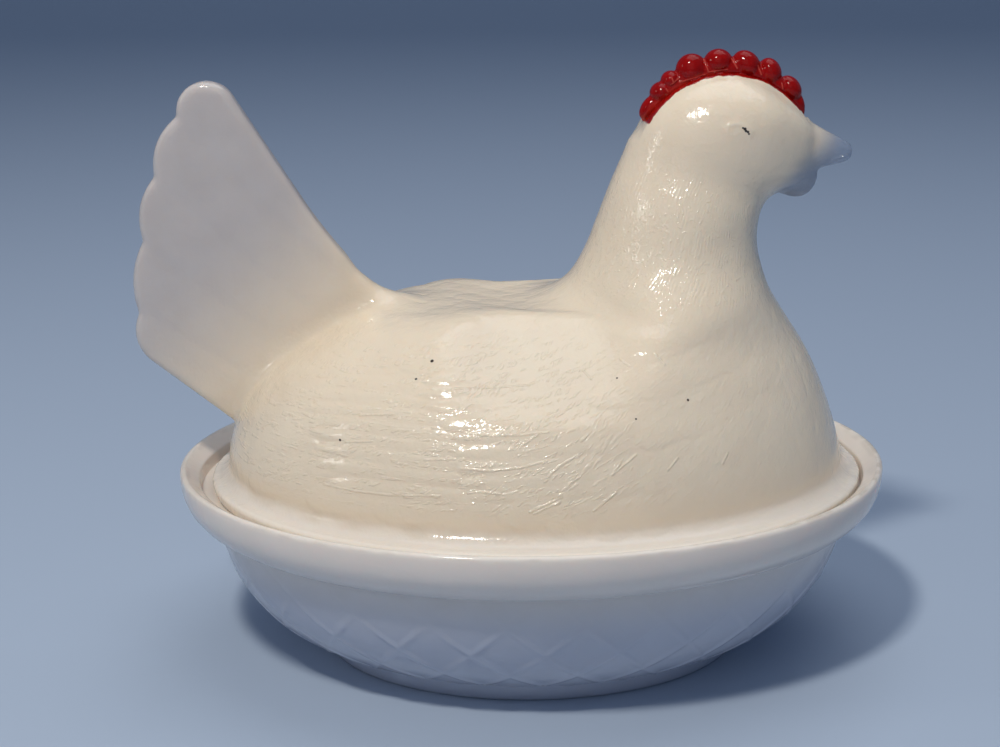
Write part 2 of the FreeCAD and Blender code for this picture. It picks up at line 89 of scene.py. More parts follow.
soft_light("key_lamp", (-0.26, -0.52, 0.81), 1.0, 0.09, 5.2, (1.0, 0.955, 0.87))
soft_light("window_lamp", (-0.86, -0.28, 0.44), 1.0, 0.12, 0.45, (1.0, 0.97, 0.92))
soft_light("front_panel", (-0.15, -0.85, 0.45), 1.4, 1.1, 0.85, (1.0, 0.98, 0.95))
soft_light("top_panel", (0.15, 0.15, 1.0), 1.2, 1.0, 4.5, (0.95, 0.97, 1.0))

sky = bpy.data.worlds.new("pale_sky")
sky.use_nodes = True
sky.node_tree.nodes["Background"].inputs["Color"].default_value = (0.50, 0.68, 1.0, 1)
sky.node_tree.nodes["Background"].inputs["Strength"].default_value = 0.22
bpy.context.scene.world = sky
bpy.context.scene.view_settings.view_transform = "Standard"
bpy.context.scene.view_settings.look = "None"
bpy.context.scene.view_settings.exposure = 0.0


# Shader sums: a wire is one socket of a material's nodes, so a sum on wires adds its Math nodes.
# A finish is one material, and its node method adds any other node.
class Wire:
    def __init__(self, finish, socket):
        self.finish = finish
        self.socket = socket

    def sum(self, operation, first, second):
        return self.finish.number(operation, first, second)

    def __add__(self, other):
        return self.sum("ADD", self, other)

    def __sub__(self, other):
        return self.sum("SUBTRACT", self, other)

    def __rsub__(self, other):
        return self.sum("SUBTRACT", other, self)

    def __mul__(self, other):
        return self.sum("MULTIPLY", self, other)

    __radd__ = __add__
    __rmul__ = __mul__


class Finish:
    def __init__(self, name, **constants):
        self.material = bpy.data.materials.new(name)
        self.material.use_nodes = True
        self.tree = self.material.node_tree
        self.shader = self.tree.nodes["Principled BSDF"]
        for socket, value in constants.items():
            self.shader.inputs[socket.replace("_", " ")].default_value = value
        self.place = self.node("ShaderNodeTexCoord", output="Object")

    def node(self, kind, settings=None, sockets=None, output=0):
        """Adds one node: its settings first, then what each socket holds or is linked to."""
        node = self.tree.nodes.new(kind)
        for setting, value in (settings or {}).items():
            setattr(node, setting, value)
        for socket, value in (sockets or {}).items():
            if isinstance(value, Wire):
                self.tree.links.new(value.socket, node.inputs[socket])
            else:
                node.inputs[socket].default_value = value
        return Wire(self, node.outputs[output])

    def number(self, operation, *values):
        return self.node("ShaderNodeMath", {"operation": operation}, dict(enumerate(values)))

    def vector(self, operation, *values, output="Vector"):
        return self.node("ShaderNodeVectorMath", {"operation": operation}, dict(enumerate(values)), output)

    def combine(self, x, y, z):
        return self.node("ShaderNodeCombineXYZ", {}, {0: x, 1: y, 2: z}, "Vector")

    def along(self, direction, offset):
        """How far a point lies along a direction, in millimetres, less an offset."""
        return self.vector("DOT_PRODUCT", self.place, direction, output="Value") * 1000 - offset

    def ramp(self, value, start, end):
        """0 before start and 1 after end, turning smoothly between them."""
        return self.node(
            "ShaderNodeMapRange", {"interpolation_type": "SMOOTHSTEP"},
            {"Value": value, "From Min": start, "From Max": end}, "Result")

    def noise(self, place, scale, detail):
        return self.node(
            "ShaderNodeTexNoise", {}, {"Vector": place, "Scale": scale, "Detail": detail}, "Fac")

    def mottle(self, grain, detail=2.0):
        """Soft irregular patches, grain millimetres across."""
        return self.noise(self.place, 1000.0 / grain, detail)

    def blend(self, mask, first, second):
        return self.node(
            "ShaderNodeMix", {"data_type": "RGBA"}, {0: mask, 6: first, 7: second}, 2)

    def near(self, point, reach):
        """1 within a small ball round a point given in millimetres, 0 outside."""
        centre = tuple(value / 1000 for value in point)
        distance = self.vector("DISTANCE", self.place, centre, output="Value") * 1000
        return self.ramp(distance, reach, reach * 0.5)

    def line(self, place, start, end, reach):
        """1 along a straight line from start to end, 0 further from it than reach."""
        length = math.dist(start, end)
        unit = tuple((last - first) / length for first, last in zip(start, end))
        offset = self.vector("SUBTRACT", place, start)
        run = self.vector("DOT_PRODUCT", offset, unit, output="Value")
        run = self.node("ShaderNodeClamp", {}, {"Value": run, "Min": 0.0, "Max": length}, "Result")
        foot = self.node("ShaderNodeVectorMath", {"operation": "SCALE"}, {0: unit, "Scale": run}, "Vector")
        gap = self.vector("DISTANCE", offset, foot, output="Value")
        return self.ramp(gap, reach, reach * 0.15)

    def most(self, wires):
        """The largest of several wires."""
        largest = wires[0]
        for wire in wires[1:]:
            largest = self.number("MAXIMUM", largest, wire)
        return largest

    def relief(self, height, depth, normal=None):
        """Fine relief in the finish: a height from 0 to 1 that stands depth millimetres deep."""
        sockets = {"Height": height, "Distance": depth / 1000, "Strength": 1.0}
        if normal is not None:
            sockets["Normal"] = normal
        return self.node("ShaderNodeBump", {}, sockets, "Normal")

    def feed(self, socket, wire):
        self.tree.links.new(wire.socket, self.shader.inputs[socket])


def pixels_on(surface, points):
    """Where the lines of sight through points of the frame meet a surface."""
    places = []
    for column, row in points:
        start, direction = sight_line(column, row)
        hit = surface.ray_cast(start, direction)[0]
        if hit is not None:
            places.append(hit)
    return places


# Nest dish: one heavy oval pressing of white milk glass, plain on the rim band and the foot band.
# The bowl between them carries a low lattice, pressed in the mould, whose lower edge is scalloped.
dish_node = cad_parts["nest_dish"]
dish_surface = BVHTree.FromObject(dish_node, bpy.context.evaluated_depsgraph_get())
segments = 720
lattice_start, lattice_end = 5.2, 35.8
lattice_rows, lattice_count = 74, 24
rib_height, rib_width = 0.28, 0.7
pad_height, pad_edge = 0.14, 0.7
scallop_height, scallop_gap = 2.2, 0.3
lip_height, lip_width = 0.12, 0.5


def outside(height):
    """Half length and half width of the dish's outside at a height, all in millimetres."""
    level = height / 1000
    long_hit = dish_surface.ray_cast(Vector((0.2, 0, level)), Vector((-1, 0, 0)))[0]
    side_hit = dish_surface.ray_cast(Vector((0, -0.2, level)), Vector((0, 1, 0)))[0]
    return long_hit.x * 1000, -side_hit.y * 1000, height


def inside(height):
    level = height / 1000
    long_hit = dish_surface.ray_cast(Vector((0, 0, level)), Vector((1, 0, 0)))[0]
    side_hit = dish_surface.ray_cast(Vector((0, 0, level)), Vector((0, -1, 0)))[0]
    return long_hit.x * 1000, -side_hit.y * 1000, height


outline = [(0.0, 0.0, 2.4), (20.0, 14.6, 2.4), (45.2, 32.5, 2.4), (46.1, 33.4, 2.3),
           (46.5, 33.8, 1.2), (46.9, 34.2, 0.3), (47.3, 34.6, 0.0), (50.0, 37.3, 0.0),
           (52.6, 39.9, 0.0), (53.2, 40.5, 0.25)]
outline += [outside(height) for height in (0.9, 2.0, 3.2, 4.2, 4.8)]
lattice_first = len(outline)
lattice_levels = np.linspace(lattice_start, lattice_end - 0.25, lattice_rows)
outline += [outside(height) for height in lattice_levels]
lattice_last = len(outline)
outline += [(81.0, 62.0, 35.8), (81.6, 62.6, 35.8)]
band_levels = (36.1, 36.8, 38.5, 41.0, 43.5, 45.5, 47.0, 47.8, 48.3, 48.7)
outline += [outside(height) for height in band_levels]
outline += [(88.7, 69.7, 48.86), (88.4, 69.4, 49.04), (88.1, 69.1, 49.1), (87.75, 68.75, 49.1),
            (87.45, 68.45, 48.9), (86.6, 67.6, 48.26), (85.5, 66.5, 47.4), (84.7, 65.7, 46.8),
            (84.3, 65.3, 46.5)]
outline += [inside(height) for height in (46.2, 45.4, 44.4, 43.9)]
outline += [(83.7, 64.7, 43.5), (81.0, 62.0, 43.5), (78.0, 59.0, 43.5), (76.9, 57.9, 43.5)]
bowl_levels = (43.1, 42.0, 39.0, 35.0, 30.0, 25.0, 20.0, 16.0, 13.0, 10.5, 8.8)
outline += [inside(height) for height in bowl_levels]
outline += [(50.6, 37.9, 8.0), (49.0, 36.6, 8.0), (25.0, 19.0, 8.0), (0.0, 0.0, 8.0)]
outline = np.array(outline)

bpy.ops.object.select_all(action="DESELECT")
bpy.ops.mesh.primitive_plane_add(size=0.001)
dish = bpy.context.object
dish.name = "nest_dish_glass"
bpy.ops.object.mode_set(mode="EDIT")
bpy.ops.mesh.select_all(action="SELECT")
bpy.ops.mesh.merge(type="CENTER")
bpy.ops.transform.translate(value=(0, 0, outline[0, 2] / 1000))
for last, point in zip(outline[:-1], outline[1:]):
    step = ((point[0] - last[0]) / 1000, 0, (point[2] - last[2]) / 1000)
    bpy.ops.mesh.extrude_region_move(TRANSFORM_OT_translate={"value": step})
bpy.ops.mesh.select_all(action="SELECT")
bpy.ops.mesh.spin(steps=segments, angle=2 * math.pi, center=(0, 0, 0), axis=(0, 0, 1))
bpy.ops.mesh.select_all(action="SELECT")
bpy.ops.mesh.remove_doubles(threshold=1e-6)
bpy.ops.mesh.normals_make_consistent(inside=False)
bpy.ops.object.mode_set(mode="OBJECT")


def points_of(mesh):
    """All of a mesh's points, in millimetres."""
    flat = np.empty(len(mesh.vertices) * 3)
    mesh.vertices.foreach_get("co", flat)
    return flat.reshape(-1, 3) * 1000


def normals_of(mesh):
    flat = np.empty(len(mesh.vertices) * 3)
    mesh.vertices.foreach_get("normal", flat)
    return flat.reshape(-1, 3)


def move_points(mesh, points):
    mesh.vertices.foreach_set("co", (points / 1000).ravel())
    mesh.update()


def smooth_step(value):
    """0 below 0 and 1 above 1, turning smoothly between them."""
    value = np.clip(value, 0, 1)
    return value * value * (3 - 2 * value)


# the round spin becomes the real oval, ring by ring
points = points_of(dish.data)
spread = np.hypot(points[:, 0], points[:, 1])
outline_gap = np.hypot(spread[:, None] - outline[:, 0], points[:, 2, None] - outline[:, 2])
ring = np.argmin(outline_gap, axis=1)
points[:, 1] *= outline[ring, 1] / np.maximum(outline[ring, 0], 1e-6)
move_points(dish.data, points)

wrap = dish.modifiers.new("onto_the_pressing", "SHRINKWRAP")
wrap.target = dish_node
wrap.wrap_method = "NEAREST_SURFACEPOINT"
bpy.ops.object.modifier_apply(modifier=wrap.name)

# lattice: ribs cross at 45 degrees on the surface, between low pads
points = points_of(dish.data)
turn = np.linspace(0, 2 * math.pi, 2881)
steps = np.hypot(np.diff(60 * np.cos(turn)), np.diff(46 * np.sin(turn)))
walked = np.concatenate([[0], np.cumsum(steps)]) / steps.sum()
bowl = outline[lattice_first:lattice_last]
climb = np.concatenate([[0], np.cumsum(np.hypot(np.diff(bowl[:, 1]), np.diff(bowl[:, 2])))])
pitch = 2 * math.pi * np.sqrt((bowl[:, 0] ** 2 + bowl[:, 1] ** 2) / 2) / lattice_count
level = np.concatenate([[0], np.cumsum(np.diff(climb) / pitch[1:])])
crossing = np.interp(lattice_start + scallop_height, bowl[:, 2], level)
on_bowl = (ring >= lattice_first) & (ring < lattice_last)
row = ring[on_bowl] - lattice_first
place = points[on_bowl]
angle = np.arctan2(place[:, 1] / bowl[row, 1], place[:, 0] / bowl[row, 0]) % (2 * math.pi)
around = np.interp(angle, turn, walked) * lattice_count
upward = level[row] - crossing
pitch_here = pitch[row]


def from_line(value):
    """Distance of each point from the nearest rib of one family, in millimetres."""
    return np.abs(value - np.round(value)) * pitch_here / math.sqrt(2)


nearest_rib = np.minimum(from_line(around + upward), from_line(around - upward))
scallop = np.abs(2 * (around - np.floor(around)) - 1) ** 1.4
scallop_line = lattice_start + scallop_gap + scallop_height * scallop
edge = climb[row] - np.interp(scallop_line, bowl[:, 2], climb)
within = smooth_step(edge / pad_edge + 0.5)
below_band = lattice_end - bowl[row, 2]
fade = np.clip((below_band - 3) / 10, 0.35, 1) * np.clip((below_band - 1.2) / 1.2, 0, 1)
rise = within * (pad_height + rib_height * np.exp(-(nearest_rib / rib_width) ** 2)) * fade
rise += lip_height * np.exp(-(edge / lip_width) ** 2) * np.clip(fade * 2, 0, 1)
normals = normals_of(dish.data)
points[on_bowl] += normals[on_bowl] * rise[:, None]
move_points(dish.data, points)
bpy.ops.object.shade_smooth_by_angle(angle=math.radians(50))

dish_glass = Finish(
    "white_milk_glass", Base_Color=(0.80, 0.78, 0.77, 1), Roughness=0.14, IOR=1.5,
    Subsurface_Weight=0.35, Subsurface_Radius=(1.0, 0.75, 0.6), Subsurface_Scale=0.004)
height = dish_glass.along((0, 0, 1), 0)
along = dish_glass.along((1, 0, 0), 0)
cloud = dish_glass.mottle(14)
white = dish_glass.blend(cloud, (0.79, 0.71, 0.635, 1), (0.83, 0.75, 0.675, 1))
# painted shade: the lower bowl is painted darker and bluer towards the foot, standing for the shade under
# the rim band and the bluish light thrown up from below
painted_bowl_shade = dish_glass.blend(cloud, (0.48, 0.50, 0.58, 1), (0.53, 0.545, 0.62, 1))
grime, old_dirt, dust = (0.35, 0.30, 0.26, 1), (0.42, 0.36, 0.28, 1), (0.50, 0.40, 0.28, 1)
tint = dish_glass.blend(dish_glass.ramp(height, 44, 20), white, painted_bowl_shade)
edge_grime = dish_glass.ramp(height, 47.9, 48.5) * dish_glass.ramp(height, 49.05, 48.7)
edge_grime = edge_grime * dish_glass.ramp(dish_glass.mottle(9), 0.45, 0.62)
tint = dish_glass.blend(edge_grime * 0.16, tint, grime)
crest_dirt = dish_glass.ramp(height, 48.8, 49.03) * dish_glass.ramp(dish_glass.mottle(5), 0.42, 0.62)
crest_dirt = crest_dirt * (dish_glass.ramp(along, 30, 70) * 0.7 + 0.3)
tint = dish_glass.blend(crest_dirt * 0.4, tint, old_dirt)
rim_ratio = 1.27
off_middle = dish_glass.vector("MULTIPLY", dish_glass.place, (1, rim_ratio, 0))
off_middle = dish_glass.vector("LENGTH", off_middle, output="Value") * 1000
ledge_dust = dish_glass.ramp(height, 47, 44) * dish_glass.mottle(6)
ledge_dust = ledge_dust * dish_glass.ramp(off_middle, 85.2, 84.2) * dish_glass.ramp(off_middle, 76, 78)
tint = dish_glass.blend(ledge_dust * 0.15, tint, dust)
dish_glass.feed("Base Color", tint)
dish_glass.feed("Roughness", dish_glass.mottle(5) * 0.10 + 0.08)
waves = dish_glass.relief(dish_glass.mottle(6, 1.0), 0.08)
dish_glass.feed("Normal", dish_glass.relief(dish_glass.mottle(0.9, 1.0), 0.02, waves))
dish.data.materials.append(dish_glass.material)
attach(dish, "nest")
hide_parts("nest_dish")


# Hen lid: one hollow pressing of the same glass, cream where it is thick; the thin tail is painted
# greyer, a painted stand-in for the backdrop's light seen through it. Feathers are low relief from the
# mould: hackles on the neck, scales on breast and back, long quills on the wing, and a fan of broad
# feathers on the tail.
lid_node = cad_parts["hen_lid"]
lid_surface = BVHTree.FromObject(lid_node, bpy.context.evaluated_depsgraph_get())
lid_grain = 0.00066
lid_faces = 190000
# shaped places as along, aside and up, and amounts by place, in millimetres or shares
crease_top, crease_foot = (-32.0, 99.0), (-72.0, 66.0)
tail_front_place = (-25.0, 0, 92.0)
beak_root_place, wattle_root_place = (65.5, 0, 127.5), (61.5, 0, 120.5)
beak_taller, beak_longer, wattle_forward = 0.08, 0.035, 1.3
shoulder_heights = (72, 77, 80, 83, 86, 89, 94)
shoulder_shares = (0, 0.05, 0.11, 0.2, 0.32, 0.42, 0.2)
back_places, back_rises, back_half_width = (-27, -17, 0, 12, 24), (0, 1.9, 2.3, 2.9, 1.2), 42
flare_heights = (73, 77, 80, 83, 86, 89, 92, 95, 98, 101, 104, 107)
flare_shares = (0, 0.02, 0.045, 0.07, 0.09, 0.09, 0.115, 0.105, 0.07, 0.025, 0.005, 0)
throat_share, crown_share = 0.08, 0.15
crown_middle, crown_height, crown_reach = 47.1, 122.7, 22.5
# how far a round of melting moves a point, and how many rounds each patch takes
melt_pull = 0.6
crease_rounds, tail_front_rounds = 60, 320
root_fill_rounds, root_melt_rounds = 200, 12
neck_fill_rounds, neck_melt_rounds = 320, 30

hen = bpy.data.objects.new("hen_lid_glass", lid_node.data.copy())
bpy.context.scene.collection.objects.link(hen)
bpy.ops.object.select_all(action="DESELECT")
hen.select_set(True)
bpy.context.view_layer.objects.active = hen
hen.data.materials.clear()
bpy.ops.object.mode_set(mode="EDIT")
bpy.ops.mesh.select_all(action="SELECT")
bpy.ops.mesh.remove_doubles(threshold=1e-6)
bpy.ops.object.mode_set(mode="OBJECT")
remesh = hen.modifiers.new("even_skin", "REMESH")
remesh.mode = "VOXEL"
remesh.voxel_size = lid_grain
bpy.ops.object.modifier_apply(modifier=remesh.name)
soften = hen.modifiers.new("melted_edges", "SMOOTH")
soften.factor = 0.5
soften.iterations = 5
bpy.ops.object.modifier_apply(modifier=soften.name)


def melt(mesh, points, weights, rounds):
    """Evens out a patch of skin as if it had melted, more where the weights are larger."""
    ends = np.empty(len(mesh.edges) * 2, int)
    mesh.edges.foreach_get("vertices", ends)
    ends = ends.reshape(-1, 2)
    ends = ends[(weights[ends] > 0).any(axis=1)]
    patch, ends = np.unique(ends, return_inverse=True)
    first, second = ends.reshape(-1, 2).T
    skin = points[patch]
    pull = melt_pull * weights[patch, None]
    neighbours = np.bincount(np.concatenate([first, second]), minlength=len(patch))[:, None]
    for _ in range(rounds):
        around = np.empty_like(skin)
        for axis in range(3):
            around[:, axis] = (np.bincount(first, skin[second, axis], len(patch))
                               + np.bincount(second, skin[first, axis], len(patch)))
        skin += pull * (around / neighbours - skin)
    points[patch] = skin


def fill(mesh, points, weights, rounds):
    """Melts glass into the hollows of a patch and leaves what stands out as it is."""
    move_points(mesh, points)
    facing = normals_of(mesh)
    before = points.copy()
    melt(mesh, points, weights, rounds)
    outward = ((points - before) * facing).sum(axis=1)
    points[:] = before + facing * np.clip(outward, 0, None)[:, None]


# the crease between tail and back is a wide soft fillet in the glass
crease_length = math.dist(crease_top, crease_foot)
crease_along = tuple((foot - top) / crease_length for top, foot in zip(crease_top, crease_foot))


def beyond_crease(points):
    """How far points lie beyond the crease on the tail's side, and how far down along it."""
    ahead = points[:, 0] - crease_top[0]
    above = points[:, 2] - crease_top[1]
    beyond = ahead * crease_along[1] - above * crease_along[0]
    down_along = ahead * crease_along[0] + above * crease_along[1]
    return beyond, down_along


points = points_of(hen.data)
tailward, crease_run = beyond_crease(points)
beside = smooth_step((12 - np.abs(tailward)) / 7) * (points[:, 2] > 58)
beside *= smooth_step((crease_run + 22) / 14) * smooth_step((crease_length + 6 - crease_run) / 6)
melt(hen.data, points, beside, crease_rounds)
tail_front = np.linalg.norm(points - tail_front_place, axis=1)
melt(hen.data, points, smooth_step((17 - tail_front) / 9), tail_front_rounds)

# beak and wattle grow out of the head without an edge
beak_root = np.linalg.norm(points - beak_root_place, axis=1)
wattle_root = np.linalg.norm(points - wattle_root_place, axis=1)
root_reach = np.minimum(beak_root, wattle_root + 1)
fill(hen.data, points, smooth_step((14 - root_reach) / 6), root_fill_rounds)
melt(hen.data, points, smooth_step((13 - root_reach) / 5), root_melt_rounds)
beak = smooth_step((points[:, 0] - 63) / 8) * smooth_step((points[:, 2] - 121) / 3)
points[:, 2] += beak_taller * beak * (points[:, 2] - (137.5 - 0.11 * points[:, 0]))
points[:, 0] += beak_longer * beak * np.clip(points[:, 0] - 66, 0, None)
wattle = smooth_step((points[:, 0] - 58) / 5) * smooth_step((124 - points[:, 2]) / 4)
points[:, 0] += wattle_forward * wattle * (points[:, 2] > 108)

# the shoulders are narrower and the back is round from side to side, the neck spreads into back
# and breast without a step, and the throat and the crown are full
shoulder = np.interp(points[:, 2], shoulder_heights, shoulder_shares)
shoulder *= smooth_step((points[:, 0] + 24) / 18) * smooth_step((30 - points[:, 0]) / 24)
points[:, 1] *= 1 - shoulder
back_line = np.interp(points[:, 0], back_places, back_rises)
back_line *= smooth_step((46 - points[:, 0]) / 24) * smooth_step((points[:, 2] - 64) / 18)
points[:, 2] += back_line * np.clip(1 - (points[:, 1] / back_half_width) ** 2, 0, 1)
flare = np.interp(points[:, 2], flare_heights, flare_shares)
flare *= smooth_step((points[:, 0] - 12) / 12) * smooth_step((70 - points[:, 0]) / 12)
points[:, 1] *= 1 + flare
throat = smooth_step((points[:, 2] - 97) / 9) * smooth_step((120 - points[:, 2]) / 9)
throat *= smooth_step((points[:, 0] - 47) / 9) * smooth_step((62 - points[:, 0]) / 3)
points[:, 1] *= 1 + throat_share * throat
neck_foot = smooth_step((points[:, 2] - 70) / 8) * smooth_step((110 - points[:, 2]) / 12)
neck_foot *= smooth_step((points[:, 0] + 24) / 8) * smooth_step((66 - points[:, 0]) / 14)
fill(hen.data, points, neck_foot, neck_fill_rounds)
melt(hen.data, points, neck_foot, neck_melt_rounds)
crown = smooth_step((points[:, 2] - 120) / 20) * smooth_step((152 - points[:, 2]) / 6)
crown *= smooth_step((66 - points[:, 0]) / 12) * (points[:, 0] > 22)
points[:, 1] *= 1 + crown_share * crown

# the glass core of the comb stays under its enamel
ahead, above = points[:, 0] - crown_middle, points[:, 2] - crown_height
from_crown = np.hypot(ahead, above)
crown_turn = np.degrees(np.arctan2(above, ahead))
under_comb = (from_crown > crown_reach) & (np.abs(points[:, 1]) < 12)
under_comb &= (crown_turn > 30) & (crown_turn < 164)
left_over = np.interp(crown_turn[under_comb], (154, 164), (0.12, 1))
squash = (crown_reach + left_over * (from_crown[under_comb] - crown_reach)) / from_crown[under_comb]
points[under_comb, 0] = crown_middle + ahead[under_comb] * squash
points[under_comb, 2] = crown_height + above[under_comb] * squash
move_points(hen.data, points)

points = points_of(hen.data)
normals = normals_of(hen.data)
rise = np.zeros(len(points))
bend_start, bend_radius = -20.0, 95.0


def lay_feather(centre, facing, towards, length, width, lift, groove, shaft):
    """Presses one feather's low relief into the skin: its tip lies on the feather behind it."""
    towards = towards - facing * np.dot(towards, facing)
    towards = towards / np.linalg.norm(towards)
    sideways = np.cross(facing, towards)
    reach = math.hypot(length, width) / 2 + 1
    offset = points - centre
    close = np.nonzero((np.abs(offset) < reach).all(axis=1) & (normals @ facing > 0.25))[0]
    run = offset[close] @ towards / (length / 2)
    side = offset[close] @ sideways / (width / 2)
    taper = np.where(run > 0, 1 - np.clip(run, 0, 1) ** 2.2, 1 - 0.25 * run * run)
    inside_by = (np.sqrt(np.clip(taper, 0, 1)) - np.abs(side)) * width / 2
    inside_by = np.minimum(inside_by, (1 - np.abs(run)) * length / 2)
    mask = smooth_step(inside_by / 0.8)
    rise[close] -= groove * np.exp(-((inside_by + 0.3) / 0.4) ** 2)
    own = lift * (0.3 + 0.7 * smooth_step((run + 1) / 2)) * (1 - 0.45 * side * side)
    own = own * (1 - 0.6 * smooth_step((points[close, 0] - 26) / 16))
    own = own + shaft * np.exp(-(side * width / 2 / 0.45) ** 2) * smooth_step((1 - run) * 2)
    rise[close] = rise[close] * (1 - mask) + own * mask


def on_lid(start, direction):
    hit, facing = lid_surface.ray_cast(Vector(start) / 1000, Vector(direction))[:2]
    if hit is None:
        return None
    return np.array(hit) * 1000, np.array(facing)


def both_sides(centre, facing, towards, *size):
    """The same feather on the hen's right side, which the photograph shows, and on its left."""
    flip = np.array((1, -1, 1))
    lay_feather(centre, facing, towards, *size)
    lay_feather(centre * flip, facing * flip, towards * flip, *size)


# scales on back, breast and sides, from the tail forward so that each lies on the one behind
wing_rows = [
    # pixel of the tip, pixel of the root, width in millimetres
    ((322, 482), (452, 497), 4.0), ((312, 462), (455, 479), 4.0), ((310, 446), (456, 463), 4.0),
    ((304, 431), (458, 448), 4.0), ((300, 417), (458, 433), 4.0), ((298, 404), (458, 417), 4.0),
    ((300, 391), (455, 402), 4.0), ((306, 379), (450, 387), 4.0),
    ((468, 497), (560, 489), 4.0), ((458, 484), (562, 476), 4.0), ((456, 469), (563, 462), 4.0),
    ((454, 453), (563, 447), 4.0), ((452, 437), (562, 433), 4.0), ((420, 380), (545, 378), 4.0),
    ((412, 392), (550, 391), 4.0), ((425, 405), (545, 404), 5.0), ((442, 426), (534, 408), 5.6),
    ((480, 421), (560, 414), 5.4)]

# length, width, lift, groove and shaft of a scale, and the last three of a wing quill
scale_size = (19.0, 8.2, 0.13, 0.04, 0.03)
quill_relief = (0.18, 0.08, 0.04)
closest_scales = 4.6

feathers = []
for column, bend in enumerate(np.arange(84, -1, -6.6)):
    order = 150 - bend
    for shift in np.arange(0, 120, 8.6):
        theta = math.radians(bend)
        x = bend_start + bend_radius * math.sin(theta)
        z = 40 + shift + (column % 2) * 4.3 + bend_radius * (1 - math.cos(theta))
        if 52 < z < 92 and x < 74:
            found = on_lid((x, -120, z), (0, 1, 0))
            if found and abs(found[1][1]) > 0.35:
                feathers.append((order, found, np.array((-math.cos(theta), 0, -math.sin(theta)))))
for x in np.arange(-30, 16, 6.6):
    for y in np.arange(0, 34, 8.2):
        found = on_lid((x, -y - (round(x / 6.6) % 2) * 4.1, 160), (0, 0, -1))
        if found and found[1][2] > 0.6 and found[0][2] < 99:
            feathers.append((150 - x, found, np.array((-1.0, 0, 0))))
for x in np.arange(-64, -22, 8.5):
    for z in np.arange(54, 92, 8.5):
        found = on_lid((x, -120, z + (round(x / 8.5) % 2) * 4.2), (0, 1, 0))
        if found and abs(found[1][1]) > 0.4 and found[0][1] < -12:
            feathers.append((150 - x, found, np.array((-1.0, 0, -0.05))))
for z in np.arange(53, 90, 8.2):
    for y in np.arange(0, 30, 8.2):
        found = on_lid((140, -y - (round(z / 8.2) % 2) * 4.1, z), (-1, 0, 0))
        if found and found[1][0] > 0.6:
            feathers.append((60 - z / 2, found, np.array((0, 0, -1.0))))

feathers.sort(key=lambda feather: -feather[0])
taken = []
for _, (centre, facing), towards in feathers:
    if any(np.linalg.norm(centre - other) < closest_scales for other in taken):
        continue
    taken.append(centre)
    both_sides(centre, facing, towards, *scale_size)

for tip, root, width in wing_rows:
    ends = pixels_on(lid_surface, (tip, root))
    tip_place, root_place = (np.array(end) * 1000 for end in ends)
    centre = (tip_place + root_place) / 2
    middle_pixel = ((tip[0] + root[0]) / 2, (tip[1] + root[1]) / 2)
    start, direction = sight_line(*middle_pixel)
    hit, facing = lid_surface.ray_cast(start, direction)[:2]
    length = np.linalg.norm(tip_place - root_place)
    both_sides(np.array(hit) * 1000, np.array(facing), tip_place - root_place, length, width, *quill_relief)

# eye: a low almond under a fine lid ridge, no paint
eye_half_length, eye_half_height, eye_ridge, eye_swell = 2.9, 1.7, 0.42, 0.22
eye_start, eye_sight = sight_line(738, 131)
eye_place = np.array(lid_surface.ray_cast(eye_start, eye_sight)[0]) * 1000
for flip in (1, -1):
    offset = points - eye_place * (1, flip, 1)
    along_eye = offset[:, 0] * 0.97 - offset[:, 2] * 0.24
    across_eye = offset[:, 2] * 0.97 + offset[:, 0] * 0.24
    almond = np.hypot(along_eye / eye_half_length, across_eye / eye_half_height)
    seen = (np.abs(offset) < 6).all(axis=1) & (normals[:, 1] * flip < -0.3)
    brow = np.exp(-((almond - 1) / 0.24) ** 2) * (0.6 + 0.4 * np.tanh(across_eye))
    rise += seen * (eye_ridge * brow + eye_swell * smooth_step(1 - almond))

# hackles: fine ridges that run down the neck and die out on head and breast
neck_lean = 0.3
neck_middle = crown_middle - neck_lean * (crown_height - points[:, 2])
neck_turn = np.arctan2(points[:, 1], points[:, 0] - neck_middle)
outward = normals[:, 0] * np.cos(neck_turn) + normals[:, 1] * np.sin(neck_turn)
on_neck = smooth_step((points[:, 2] - 84) / 10) * smooth_step((134 - points[:, 2]) / 14)
on_neck *= smooth_step((points[:, 0] - 4) / 10) * smooth_step((69 - points[:, 0]) / 4)
on_neck *= outward > 0.1
sway = 0.05 * np.sin(points[:, 2] / 6.0)
ridges = 0.5 + 0.5 * np.cos(52 * (neck_turn + sway))
hackle_height = 0.02
rise = rise * (1 - on_neck) + on_neck * hackle_height * ridges

# tail: broad feathers that end in the lobes of the edge, with a shallow valley between them
fan_start = (60.0, -15.0)
valley_depth, valley_width, wave_height = 0.15, 1.5, 0.03
lobe_gaps = ((-85.1, 135.6), (-91.0, 120.9), (-94.9, 105.4), (-96.7, 89.5))
tailward = beyond_crease(points)[0]
rise *= np.maximum(smooth_step(-(tailward + 2) / 10), smooth_step((points[:, 0] + 12) / 8))
on_tail = smooth_step((tailward - 2) / 6)
on_tail *= (points[:, 0] < -30) & (np.abs(normals[:, 1]) > 0.5)
bearing = np.arctan2(points[:, 2] - fan_start[1], fan_start[0] - points[:, 0])
valleys = np.zeros(len(points))
for x, z in lobe_gaps:
    line = math.atan2(z - fan_start[1], fan_start[0] - x)
    gap = (bearing - line) * np.hypot(points[:, 0] - fan_start[0], points[:, 2] - fan_start[1])
    valleys += np.exp(-(gap / valley_width) ** 2)
rise = rise * (1 - on_tail) - valley_depth * valleys * on_tail
hand_waves = np.sin(points[:, 0] / 2.9 + 1.3 * np.sin(points[:, 2] / 4.1)) * np.sin(points[:, 2] / 3.3)
rise += wave_height * hand_waves * (np.abs(rise) > 0.01)

